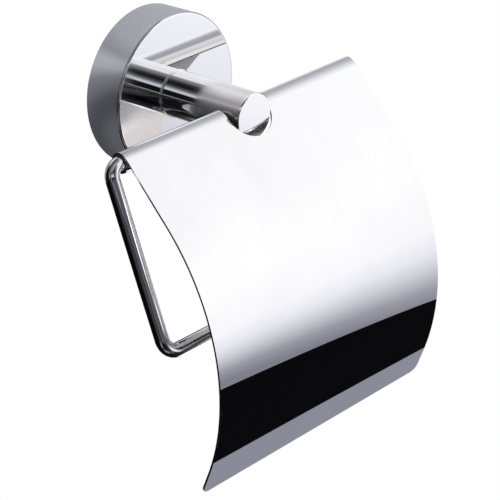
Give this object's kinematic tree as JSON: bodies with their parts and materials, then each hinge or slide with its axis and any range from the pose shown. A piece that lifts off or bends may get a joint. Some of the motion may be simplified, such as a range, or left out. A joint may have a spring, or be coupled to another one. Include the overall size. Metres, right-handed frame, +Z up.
{
  "type": "toilet paper holder",
  "caption": "Wall-mounted toilet paper holder: a round flange and post carry a bent wire roll arm and a curved sheet lid that swings on the arm's upper rod.",
  "frame": {"origin": "centre of the flange on the wall plane", "axes": "+Y into the wall, +Z up, +X towards the roll arm's free end"},
  "size_m": [0.1277, 0.0893, 0.1468],
  "materials": {
    "bracket_zinc": "bare die-cast zinc, dull grey",
    "flange_chrome": "polished chrome face, finely brushed rim",
    "post_chrome": "polished chrome",
    "arm_chrome": "polished chrome on drawn wire",
    "lid_chrome": "polished chrome on rolled sheet",
    "screw_steel": "zinc-plated steel",
    "liner_nylon": "natural nylon"
  },
  "bodies": {
    "holder": {"wall_bracket": "bracket_zinc", "flange_cup": "flange_chrome", "cup_grub_screw": "screw_steel", "post_ring": "post_chrome", "post": "post_chrome", "post_washer": "screw_steel", "post_screw": "screw_steel", "roll_arm": "arm_chrome", "arm_grub_screw": "screw_steel"},
    "lid": {"lid": "lid_chrome", "left_hinge_liner": "liner_nylon", "right_hinge_liner": "liner_nylon"}
  },
  "joints": [
    {"name": "lid_hinge", "type": "hinge", "parent": "holder", "child": "lid", "pos_m": [0, -0.0466, 0], "axis": [-1, 0, 0], "range_deg": [-13, 155]}
  ]
}
